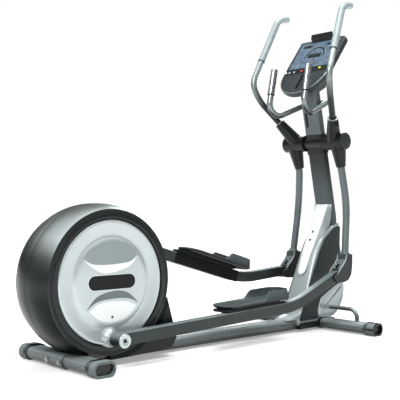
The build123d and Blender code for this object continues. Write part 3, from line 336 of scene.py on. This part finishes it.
def turned(profile, x, z, steps, sign=1, closed=False):
    """Round shape about an axle along Y; the profile is (radius, y), with y towards the side's sign."""
    turns = [2 * math.pi * k / steps for k in range(steps)]
    rings = [
        [(x + radius * math.cos(a), sign * y, z + radius * math.sin(a)) for a in turns]
        for radius, y in profile
    ]
    return loft(rings, closed)


def ring_on(centre, axis, inner, outer, half):
    """Square edged ring round any axis."""
    axis = Vector(axis).normalized()
    side = axis.orthogonal().normalized()
    other = axis.cross(side)
    turns = [2 * math.pi * k / 40 for k in range(40)]
    rings = []
    for radius, shift in ((inner, -half), (outer, -half), (outer, half), (inner, half)):
        middle = Vector(centre) + axis * shift
        rings.append([tuple(middle + (side * math.cos(a) + other * math.sin(a)) * radius) for a in turns])
    return loft(rings, closed=True)


def rod(points, radius, steps=16):
    """Round bar along a line of points."""
    line = [Vector(p) for p in points]
    side = (line[1] - line[0]).orthogonal().normalized()
    rings = []
    for k, here in enumerate(line):
        run = (line[min(k + 1, len(line) - 1)] - line[max(k - 1, 0)]).normalized()
        side = (side - run * side.dot(run)).normalized()
        other = run.cross(side)
        turns = [2 * math.pi * n / steps for n in range(steps)]
        rings.append([tuple(here + (side * math.cos(a) + other * math.sin(a)) * radius) for a in turns])
    return loft(rings)


def smooth_line(points, steps=8):
    """Catmull-Rom curve through the points."""
    line = []
    ends = [points[0], *points, points[-1]]
    for before, start, stop, after in zip(ends, ends[1:], ends[2:], ends[3:]):
        for k in range(steps):
            t = k / steps
            line.append(tuple(
                0.5 * (
                    2 * b + (c - a) * t + (2 * a - 5 * b + 4 * c - d) * t * t
                    + (3 * b - a - 3 * c + d) * t ** 3
                )
                for a, b, c, d in zip(before, start, stop, after)
            ))
    line.append(tuple(points[-1]))
    return line


def between(table, value):
    """Straight line look-up in (value, result) pairs."""
    if value <= table[0][0]:
        return table[0][1]
    for (low, first), (high, last) in zip(table, table[1:]):
        if value <= high:
            return first + (last - first) * (value - low) / (high - low)
    return table[-1][1]


def shrunk(outline, amount):
    """A flat outline moved inward by an amount, point by point."""
    count = len(outline)
    area = sum(
        outline[k][0] * outline[(k + 1) % count][1] - outline[(k + 1) % count][0] * outline[k][1]
        for k in range(count)
    )
    turn = 1 if area > 0 else -1
    moved = []
    for k, (x, z) in enumerate(outline):
        (ax, az), (bx, bz) = outline[k - 1], outline[(k + 1) % count]
        run = Vector((bx - ax, bz - az)).normalized()
        moved.append((x - run.y * amount * turn, z + run.x * amount * turn))
    return moved


def plate(outline, levels):
    """Plate with a side outline: one (y, inset) pair for each ring."""
    return loft([[(x, y, z) for x, z in shrunk(outline, inset)] for y, inset in levels])


# ---------------------------------------------------------------- drive casing and turning discs
# Profiles are (radius, distance from the middle plane); the turned pieces are mirrored to the left side.
DISC = (
    (1, 101), (258, 101), (258, 119), (257.2, 123), (255, 125.6), (252, 126.6), (248, 126.8), (243, 126.4),
    (230, 124.6), (215, 122.5), (203, 121.2), (195, 120.6), (190, 120.8), (186, 121.8), (182, 124),
    (178, 125.8), (172, 127), (160, 127.6), (100, 128), (1, 128.2),
)
BOSS = (
    (48, 121), (42, 125.5), (36, 130), (31, 136.5), (27.5, 144), (25.2, 152), (24.2, 158.6), (23, 160),
    (1, 160),
)
DISC_SCREW = ((1, 126), (5.5, 126), (5.5, 129.6), (1, 129.6))
CASING_RIM = (
    (262.5, 118), (262.5, 125.8), (264, 127.4), (267, 128), (281, 127.4), (284, 126.4), (285.5, 124),
)
CASING_EDGE = ((293, 123.5), (294.5, 126), (298, 126.6), (301.5, 125.2), (302.5, 122), (298, 120))
CASING_SEAM = ((323, -1.2), (325.3, -1.2), (325.3, 1.2), (323, 1.2))
WASHER = (
    (1, 223.4), (27, 223.4), (29, 225), (29, 228.5), (27.4, 230.6), (24, 231.3), (15, 231.3), (13, 230.2),
    (11, 228), (1, 228),
)
PIN_BOLT = ((1, 228), (8.5, 228), (8.5, 230.4), (7, 231), (4.2, 231), (4.2, 229), (1, 229))

# Edges of the raised plates, from the disc's centre. The lens and the crescent share one edge.
LENS_TOP = [(-104, 139), (-50, 163), (10, 171), (66, 159), (106, 137)]
LENS_FOOT = [(-95, 78), (-18, 73), (88, 80)]
CRESCENT_FOOT = [(-95, 62), (-24, 37), (88, 62)]
ARCH_TOP = [(-72, -54), (16, -36), (82, -49)]
ARCH_FOOT = [(-72, -76), (13, -68), (82, -72)]
BOWL_TOP = [(-66, -84), (12, -77), (80, -84)]
BOWL_FOOT = [(-84, -140), (-40, -160), (5, -166), (54, -158), (94, -137)]


def on_disc(points):
    return [(CRANK[0] + x, CRANK[1] + z) for x, z in points]


def lens(left, right, upper, lower, levels):
    """Plate between an upper and a lower edge that meet at two tips: one (y, inset) pair for each ring."""
    above, below = smooth_line([left, *upper, right], 10), smooth_line([left, *lower, right], 10)
    rings = []
    for y, inset in levels:
        high, low = [], []
        for k in range(41):
            x = left[0] + (right[0] - left[0]) * (0.01 + 0.98 * k / 40)
            top, bottom = between(above, x), between(below, x)
            step = (top - bottom) * min(0.45, inset / max(top - bottom, 0.1))
            high.append((x, top - step))
            low.append((x, bottom + step))
        rings.append([(x, y, z) for x, z in on_disc(high + low[::-1])])
    return loft(rings)


BADGE_TURNS = [(x, math.radians(start + 15 * k)) for x, start in ((88, -90), (-88, 90)) for k in range(13)]
BADGE = on_disc([(x + 32 * math.cos(a), 0.5 + 32 * math.sin(a)) for x, a in BADGE_TURNS])
DISC_PLATES = (  # name, shape, height of the top, width of its rounded rim, material
    ("lens", partial(lens, (-140, 104), (131, 110), LENS_TOP, LENS_FOOT), 128.6, 1.0, "disc_shade"),
    # The crescent's near-white colour is a painted highlight on its raised bevel.
    ("crescent", partial(lens, (-140, 98), (129, 107), LENS_FOOT, CRESCENT_FOOT), 130.4, 3.2, "disc_light"),
    ("arch", partial(lens, (-127, -108), (136, -94), ARCH_TOP, ARCH_FOOT), 128.9, 1.2, "disc_dark"),
    ("bowl", partial(lens, (-112, -112), (126, -104), BOWL_TOP, BOWL_FOOT), 129.0, 5.0, "disc_light"),
    ("badge_rim", partial(plate, BADGE), 129.6, 0.8, "disc_light"),
    ("badge", partial(plate, shrunk(BADGE, 2.2)), 130.3, 1.0, "disc_badge"),
)

for name, sign in SIDES:
    piece(
        f"disc_{name}", turned(DISC, *CRANK, 160, sign), MATERIALS["disc_silver"], "crank",
        replaces=(f"crank_disc_{name}",),
    )
    piece(
        f"disc_boss_{name}", turned(BOSS, *PINS[name], 48, sign), MATERIALS["disc_silver"],
        "crank",
    )
    for label, shape, top, rim, look in DISC_PLATES:
        levels = (
            (sign * 124, 0), (sign * (top - rim * 0.5), 0), (sign * (top - rim * 0.12), rim * 0.35),
            (sign * top, rim), (sign * top, rim + 0.8),
        )
        piece(f"disc_{label}_{name}", shape(levels), MATERIALS[look], "crank")
    piece(
        f"disc_screw_{name}", turned(DISC_SCREW, CRANK[0], CRANK[1] - 143, 24, sign), MATERIALS["bolt_black"],
        "crank",
    )
    for label, profile in (("rim", CASING_RIM), ("edge", CASING_EDGE)):
        piece(
            f"casing_{label}_{name}", turned(profile, *CRANK, 160, sign, closed=True), MATERIALS["rim_black"],
            "frame",
        )
    piece(
        f"pin_washer_{name}", turned(WASHER, *PINS[name], 64, sign), MATERIALS["disc_silver"],
        f"foot_{name}", replaces=(f"crank_pin_cap_{name}",),
    )
    piece(
        f"pin_bolt_{name}", turned(PIN_BOLT, *PINS[name], 6, sign), MATERIALS["bolt_black"],
        f"foot_{name}",
    )
seam = turned(CASING_SEAM, *CRANK, 160, closed=True)
piece("casing_seam", seam, MATERIALS["bolt_black"], "frame")


# ---------------------------------------------------------------- shroud at the mast's foot
# The shroud by height, as (z, x) or (z, y): rear face, rear edge of its sides, front, half width.
REAR = (
    (14, 612), (40, 590), (64, 586), (66, 506), (72, 520), (84, 552), (96, 596), (108, 618), (200, 652),
    (296, 686), (411, 732), (522, 802), (548, 862), (566, 905),
)
CORNER = (
    (14, 618), (52, 604), (66, 606), (127, 624), (212, 663), (298, 703), (401, 752), (479, 786), (534, 880),
    (548, 900), (566, 920),
)
FRONT = (
    (14, 856), (50, 872), (98, 926), (155, 956), (240, 971), (340, 955), (440, 932), (556, 938), (566, 925),
)
SHROUD_HALF = ((14, 56), (50, 60), (566, 60))
SHROUD_LEVELS = (
    14, 24, 40, 56, 64, 66, 69, 74, 80, 86, 92, 98, 106, 116, 130, 150, 175, 200, 230, 260, 296, 330, 370,
    411, 450, 490, 512, 524, 532, 540, 548, 556, 562, 566,
)
NOSE = 34
QUARTER = [math.radians(min(89.9, max(0.1, 10 * k))) for k in range(10)]


def shroud_ring(z):
    """Level section of the shroud: rounded rear face, flat sides, rounded front."""
    rear, corner, front, half = (between(table, z) for table in (REAR, CORNER, FRONT, SHROUD_HALF))
    nose = min(NOSE, (front - corner) * 0.5)
    quarter = [(corner - (corner - rear) * math.cos(a) ** 0.8, half * math.sin(a) ** 0.62) for a in QUARTER]
    quarter += [(front - nose + nose * math.cos(a) ** 0.7, half * math.sin(a) ** 0.7) for a in QUARTER[::-1]]
    return [(x, y, z) for x, y in quarter] + [(x, -y, z) for x, y in quarter[::-1]]


piece(
    "shroud", loft([shroud_ring(z) for z in SHROUD_LEVELS]), MATERIALS["shell_grey"], "frame",
    replaces=("shroud_shell",), sharp=50,
)

FOOT_OUTLINE = ((596, 14), (850, 14), (868, 30), (884, 52), (760, 62), (740, 46), (604, 46))
FOOT_LEVELS = ((40, 0), (63, 0), (66, 3))
SCOOP_OUTLINE = smooth_line([
    (765, 168), (740, 112), (741, 78), (762, 64), (806, 62), (868, 66), (918, 102), (952, 160), (958, 214),
    (950, 236), (910, 233), (840, 204), (765, 168),
], 5)[:-1]
SCOOP_LEVELS = (  # a raised rim, then a hollow
    (60, 0), (68.6, 0), (70.2, 2), (70.4, 4), (69.8, 6.5), (68.9, 9.5), (67.6, 13), (66.4, 17), (65.8, 21),
)
for name, sign in SIDES:
    foot = plate(FOOT_OUTLINE, [(sign * y, inset) for y, inset in FOOT_LEVELS])
    piece(f"shroud_foot_{name}", foot, MATERIALS["plastic_black"], "frame", bevel=1.5)
    piece(
        f"shroud_scoop_{name}", plate(SCOOP_OUTLINE, [(sign * y, inset) for y, inset in SCOOP_LEVELS]),
        MATERIALS["shell_grey"], "frame",
        replaces=("shroud_crescents",) if name == "right" else (), sharp=60,
    )

# The cover over the mast's foot, as (z, value): its face, its back edge, and the half widths of both.
STRIP_X = ((292, 672), (300, 676), (413, 726), (520, 781), (668, 851))
STRIP_BACK = ((292, 686), (304, 694), (400, 738), (512, 802), (560, 846), (668, 862))
STRIP_SIDE = ((294, 7), (303, 20), (330, 27), (420, 42), (500, 56), (668, 56))
STRIP_W = ((294, 5), (297, 13), (303, 20), (312, 24), (330, 26), (400, 30), (500, 35), (600, 40), (668, 41))
STRIP_LEVELS = (294, 297, 303, 312, 330, 360, 400, 440, 480, 512, 540, 560, 590, 620, 650, 662, 667)


def mirrored(section, z):
    """Level ring from one half of a section symmetric in y."""
    return [(x, y, z) for x, y in section] + [(x, -y, z) for x, y in section[::-1]]


cover_rings, strip_rings = [], []
for z in STRIP_LEVELS:
    x, back, wide, half = (between(table, z) for table in (STRIP_X, STRIP_BACK, STRIP_SIDE, STRIP_W))
    top = 1.0 if z < 660 else (668 - z) / 8
    out = x + (1 - top) * 3
    cover = [(out + 2, half - 2), (out + 5, half + 1), (back, wide), (back + 8, wide + 1)]
    strip = [(out - 1.5, half - 5), (out, half - 1.5), (out + 2.5, half), (out + 6, half)]
    cover_rings.append(mirrored(cover, z))
    strip_rings.append(mirrored(strip, z))
piece(
    "mast_cover_body", loft(cover_rings), MATERIALS["shell_grey"], "frame",
    replaces=("mast_cover",), sharp=28,
)
piece("mast_cover_strip", loft(strip_rings), MATERIALS["cover_white"], "frame", sharp=50)
for z in (518, 475):
    screw = ring_on((between(STRIP_X, z) - 2.0, 0, z), (-0.89, 0, 0.46), 0.6, 6.2, 1.4)
    piece(f"cover_screw_{z}", screw, MATERIALS["bolt_black"], "frame")


# ---------------------------------------------------------------- pedals
PEDALS = {  # centre of the sole, direction along the pedal, direction up from it
    "right": ((174.0, -130, 194.3), (0.99918, 0, 0.040477), (-0.040477, 0, 0.99918)),
    "left": ((170.1, 130, 385.7), (0.960432, 0, -0.278513), (0.278513, 0, 0.960432)),
}
PEDAL_HALF, PEDAL_SIDE, PEDAL_CORNER = 220, 75, 60
# Rings of the tray from the sole, up outside its wall and down inside: the inset and the height of each,
# both as (at the low rear wall, added at the front wall).
PEDAL_RINGS = (
    ((12, 0), (0.5, 0)), ((4, 0), (3, 0)), ((0.6, 0), (8, 0)), ((0, 0), (12, 0)), ((1, 0), (15, 0)),
    ((2.5, 6), (14.6, 37)), ((5, 6.5), (16, 38)), ((8, 5.5), (15.6, 38)), ((10.5, 5), (14, 34)),
    ((15, 4), (12, 6)), ((21, 5), (10.4, 0)), ((30, 0), (10.2, 0)), ((50, 0), (10.2, 0)),
    ((66, 0), (10.2, 0)),
)


def pedal_edge():
    """Points round a pedal: centre of the corner it belongs to, and the direction outward from there."""
    edge = []
    reach = PEDAL_HALF - PEDAL_CORNER
    for cu, cv, start in ((1, 1, 0), (-1, 1, 90), (-1, -1, 180), (1, -1, 270)):
        edge += [(cu * reach, cv, math.radians(start + 90 * k / 12)) for k in range(13)]
        if cu == cv:
            edge += [(cu * (reach - 8 * k), cv, math.radians(start + 90)) for k in range(1, 40)]
    return edge


def rise(u):
    """Share of the front wall's full height at a place along the pedal."""
    t = min(1.0, max(0.0, (u - 13) / 40))
    return t * t * (3 - 2 * t) * 0.35 + t * 0.65


def pedal_ring(place, inset_rule, height_rule):
    """Rounded rectangle round the pedal, with its inset and height given along the pedal."""
    centre, run, lift = (Vector(v) for v in place)
    ring = []
    for middle, cv, a in pedal_edge():
        inset = inset_rule[0] + inset_rule[1] * rise(middle + PEDAL_CORNER * math.cos(a))
        radius = max(6, PEDAL_CORNER - inset)
        if abs(middle) < PEDAL_HALF - PEDAL_CORNER:
            u = middle
        else:
            u = math.copysign(PEDAL_HALF - inset - radius, middle) + radius * math.cos(a)
        v = cv * max(2, PEDAL_SIDE - inset - radius) + radius * math.sin(a)
        height = height_rule[0] + height_rule[1] * rise(u)
        ring.append(tuple(centre + run * u + Vector((0, v, 0)) + lift * height))
    return ring


def tread(place):
    """Low ribs across the sole."""
    centre, run, lift = (Vector(v) for v in place)
    points, faces = [], []
    for k in range(24):
        u = -172 + 15 * k
        reach = 46 if -150 < u < 150 else 34
        start = len(points)
        for height, half in ((10, 3.4), (12.2, 1.8)):
            for du, v in ((-half, -reach), (half, -reach), (half, reach), (-half, reach)):
                points.append(tuple(centre + run * (u + du) + Vector((0, v, 0)) + lift * height))
        faces.append(tuple(start + n for n in (4, 5, 6, 7)))
        faces += [(start + n, start + (n + 1) % 4, start + 4 + (n + 1) % 4, start + 4 + n) for n in range(4)]
    return points, faces


for name, sign in SIDES:
    tray = loft([pedal_ring(PEDALS[name], *rules) for rules in PEDAL_RINGS])
    piece(
        f"pedal_tray_{name}", tray, MATERIALS["pedal_rubber"], f"foot_{name}",
        replaces=(f"pedal_{name}",), sharp=60,
    )
    piece(
        f"pedal_tread_{name}", tread(PEDALS[name]), MATERIALS["pedal_rubber"], f"foot_{name}",
    )


# ---------------------------------------------------------------- stabilizer caps
CAP_Z, CAP_TALL = 33, 62
STABILIZERS = (("rear", -792, 286, 104), ("front", 798, 408, 86))  # name, x, half length, width
CAP_RINGS = ((-62, -57.4, 1.0), (-54, -51, 1.3), (-48, -45, 1.3), (-42, -39, 1.3))  # start, stop, growth
SLEEVE = ((0.5, -36), (0.5, 0.3), (-8.5, 0.3), (-8.5, -20))  # growth, place from the cap's end


def stadium(x, width, grow):
    """Cap outline, grown or shrunk."""
    radius = CAP_TALL / 2 + grow
    flat = (width - CAP_TALL) / 2
    turns = [math.radians(7.5 * k) for k in range(25)]
    right = [(x + flat + radius * math.sin(a), CAP_Z + radius * math.cos(a)) for a in turns]
    return right + [(x - flat - radius * math.sin(a), CAP_Z - radius * math.cos(a)) for a in turns]


for end, x, half, width in STABILIZERS:
    for name, sign in SIDES:
        for k, (start, stop, grow) in enumerate(CAP_RINGS):
            piece(
                f"{end}_cap_ring_{name}_{k}",
                plate(stadium(x, width, grow), ((sign * (half + start), 0), (sign * (half + stop), 0))),
                MATERIALS["plastic_black"], "frame",
            )
        if end == "front":
            rings = [[(a, sign * (half + y), b) for a, b in stadium(x, width, grow)] for grow, y in SLEEVE]
            piece(
                f"front_cap_sleeve_{name}", loft(rings, closed=True), MATERIALS["plastic_black"],
                "frame",
            )
        piece(
            f"{end}_cap_floor_{name}",
            plate(stadium(x, width, -9), ((sign * (half - 16), 0), (sign * (half - 13), 0))),
            MATERIALS["bolt_black"], "frame",
        )


# ---------------------------------------------------------------- console, grips and joints
CONSOLE = Vector((621.5, 0, 1253))
TILT = math.radians(52.5)
UP = Vector((math.cos(TILT), 0, math.sin(TILT)))
OUT = Vector((-math.sin(TILT), 0, math.cos(TILT)))
HUB_DISC = (
    (1, 199.4), (43, 199.4), (44, 200.4), (44, 203.4), (43, 204.6), (41.4, 204.2), (40, 205), (37, 207),
    (30, 208.2), (1, 208.6),
)
# Painted highlight: pale rods along the link cover's rounded rear edges, as (x, z).
LINK_HIGHLIGHT_LINE = smooth_line([
    (802.5, 404), (799, 388), (790, 370), (772, 350), (752, 332), (738, 318), (728, 304),
], 5)


def on_side(x, y, z, sign):
    return Vector((x, sign * y, z))


def on_face(u, v, height):
    """Point on the console's face: to the user's right, up the face, and out from it."""
    return tuple(CONSOLE + UP * v + OUT * height + Vector((0, -u, 0)))


def face_plate(outline, low, high, inset):
    """Plate on the console's face, with a narrow rounded rim."""
    levels = ((low, 0), (high - inset, 0), (high, inset))
    return loft([[on_face(u, v, height) for u, v in shrunk(outline, shift)] for height, shift in levels])


def box_outline(left, right, bottom, top, radius):
    """Rectangle with round corners."""
    outline = []
    for u, v, start in ((right, top, 0), (left, top, 90), (left, bottom, 180), (right, bottom, 270)):
        cu = u - math.copysign(radius, u - (left + right) / 2)
        cv = v - math.copysign(radius, v - (bottom + top) / 2)
        for k in range(5):
            a = math.radians(start + 22.5 * k)
            outline.append((cu + radius * math.cos(a), cv + radius * math.sin(a)))
    return outline


def dial(inner, outer, start, stop, u, v):
    """Arc shaped band."""
    turns = [math.radians(start + (stop - start) * k / 30) for k in range(31)]
    arc = [(u + outer * math.cos(a), v + outer * math.sin(a)) for a in turns]
    return arc + [(u + inner * math.cos(a), v + inner * math.sin(a)) for a in turns[::-1]]


for label, outline, high, slot in (
    ("key_band", box_outline(-150, 150, 152, 187, 8), 1.6, "plastic_black"),
    ("window_right", box_outline(-112, -52, 346, 366, 3), 3.2, "plastic_black"),
    ("window_left", box_outline(52, 112, 346, 366, 3), 3.2, "plastic_black"),
    ("readout", box_outline(-42, 48, 262, 292, 5), 3.2, "plastic_black"),
    ("dial", dial(58, 66, -15, 195, 2, 276), 3.3, "plastic_black"),
    ("scale", dial(70, 72, 0, 180, 2, 276), 3.0, "key_silver"),
    ("line_right", box_outline(-128, -78, 216, 219, 1), 2.9, "key_silver"),
    ("line_left", box_outline(80, 130, 216, 219, 1), 2.9, "key_silver"),
):
    piece(
        f"console_{label}", face_plate(outline, 0.1, high, 0.6), MATERIALS[slot],
        "frame",
    )
rim_line = []
for k in range(33):
    a = math.radians(180 + 180 * k / 32)
    rim_line.append(CONSOLE + UP * (150 + 145 * math.sin(a)) + Vector((0, -154 * math.cos(a), 0)) + OUT * -3)
piece("console_rim", rod(rim_line, 3.6), MATERIALS["bar_silver"], "frame")

for name, sign in SIDES:
    top = on_side(601, 119, 1385, sign)
    down = (on_side(548, 123, 1109, sign) - top).normalized()
    for k, (shift, width) in enumerate(((133.5, 3.0), (66, 0.8))):
        piece(
            f"pulse_ring_{name}_{k}", ring_on(top + down * shift, down, 17, 19.1, width),
            MATERIALS["plastic_black"], "frame",
        )
    body = f"swing_{name}"
    elbow, corner = on_side(583, 268, 1330, sign), on_side(748, 224, 1698, sign)
    piece(
        f"grip_ring_{name}", ring_on(elbow + (corner - elbow) * 0.346, corner - elbow, 16.2, 20.2, 1.6),
        MATERIALS["plastic_black"], body,
    )
    hub, funnel = on_side(801, 124, 1000, sign), on_side(715, 187, 1116, sign)
    piece(
        f"funnel_lip_{name}", ring_on(funnel, funnel - hub, 20.5, 27.6, 1.6), MATERIALS["shell_grey"],
        body,
    )
    piece(
        f"hub_disc_{name}", turned(HUB_DISC, *SWING_AXLE, 64, sign), MATERIALS["panel_charcoal"],
        body, replaces=(f"hub_cap_{name}",),
    )
    # Painted highlights on both rounded rear edges of the link cover.
    for side in (-1, 1):
        y = sign * 180 + side * 28.6
        piece(
            f"link_edge_highlight_{name}_{side}", rod([(x, y, z) for x, z in LINK_HIGHLIGHT_LINE], 2.9), MATERIALS["shell_grey"],
            body,
        )
    for node in (f"link_cover_{name}", f"pedal_bracket_{name}"):
        soften_node(node, 2.5)
for node, width in (
    ("shroud_panels", 2.0), ("console_hood", 3.0), ("hub_sleeve", 4.0), ("console_overlay", 0.6),
):
    soften_node(node, width)


# ---------------------------------------------------------------- floor, light and camera
def backdrop():
    """Pale floor that glows a little more away from the object, so that it meets the white room."""
    bpy.ops.mesh.primitive_plane_add(size=60)
    floor = bpy.context.object
    floor.name = "floor"
    material, tree_nodes, links, shader = shader_nodes("floor_pale")
    pale = ramp(tree_nodes, links, noise(tree_nodes, links, 0.7), [(0, 0.93), (1, 0.96)])
    links.new(pale, shader.inputs["Base Color"])
    links.new(pale, shader.inputs["Emission Color"])
    coord = tree_nodes.new("ShaderNodeTexCoord")
    reach = tree_nodes.new("ShaderNodeVectorMath")
    reach.operation = "LENGTH"
    links.new(coord.outputs["Object"], reach.inputs[0])
    far = tree_nodes.new("ShaderNodeMapRange")
    far.inputs["From Min"].default_value = 1.2
    far.inputs["From Max"].default_value = 3.6
    far.inputs["To Min"].default_value = 0.34
    far.inputs["To Max"].default_value = 0.85
    links.new(reach.outputs["Value"], far.inputs["Value"])
    links.new(far.outputs["Result"], shader.inputs["Emission Strength"])
    shader.inputs["Roughness"].default_value = 0.9
    floor.data.materials.append(material)


def soft_light(name, place, aim, size, power):
    """Rectangular lamp turned towards a point."""
    lamp = bpy.data.lights.new(name, "AREA")
    lamp.shape = "RECTANGLE"
    lamp.size, lamp.size_y = size
    lamp.energy = power
    holder = bpy.data.objects.new(name, lamp)
    holder.location = place
    holder.rotation_euler = (Vector(aim) - Vector(place)).to_track_quat("-Z", "Y").to_euler()
    scene.collection.objects.link(holder)


def studio():
    """Bright room above, dimmer low down; the camera itself sees a white backdrop."""
    world = bpy.data.worlds.new("studio")
    scene.world = world
    world.use_nodes = True
    tree_nodes, links = world.node_tree.nodes, world.node_tree.links
    background = tree_nodes["Background"]
    coord = tree_nodes.new("ShaderNodeTexCoord")
    split = tree_nodes.new("ShaderNodeSeparateXYZ")
    links.new(coord.outputs["Generated"], split.inputs["Vector"])
    room = ramp(
        tree_nodes, links, split.outputs["Z"],
        [(0.0, 0.12), (0.3, 0.2), (0.5, 0.62), (0.62, 0.95), (0.8, 0.85), (1.0, 0.7)],
    )
    away = tree_nodes.new("ShaderNodeVectorMath")
    away.operation = "DOT_PRODUCT"
    away.inputs[1].default_value = (0.67, 0.74, 0)
    links.new(coord.outputs["Generated"], away.inputs[0])
    dimmer = ramp(
        tree_nodes, links, away.outputs["Value"], [(0.0, 1.0), (0.3, 0.8), (0.62, 0.18), (1.0, 0.12)],
    )
    room = multiplied(tree_nodes, links, room, dimmer)
    path = tree_nodes.new("ShaderNodeLightPath")
    seen = mixed(tree_nodes, links, room, (1, 1, 1, 1), "MIX", path.outputs["Is Camera Ray"])
    links.new(seen, background.inputs["Color"])
    background.inputs["Strength"].default_value = 1.0
    soft_light("overhead", (0.2, -0.4, 4.2), (0, 0, 0.4), (3.4, 2.4), 120)
    soft_light("key", (-3.4, -1.2, 3.0), (-0.3, 0, 0.5), (1.4, 1.8), 75)
    soft_light("rim", (2.8, 2.2, 2.6), (0.4, 0, 0.8), (1.5, 2.2), 40)


def camera():
    data = bpy.data.cameras.new("camera")
    holder = bpy.data.objects.new("camera", data)
    holder.location = (-2.594, -2.835, 0.680)
    holder.rotation_euler = (math.radians(90.133), 0, math.radians(-41.963))
    data.sensor_width = 36
    data.lens = 72.44
    scene.collection.objects.link(holder)
    scene.camera = holder


backdrop()
studio()
camera()
scene.view_settings.view_transform = "Standard"
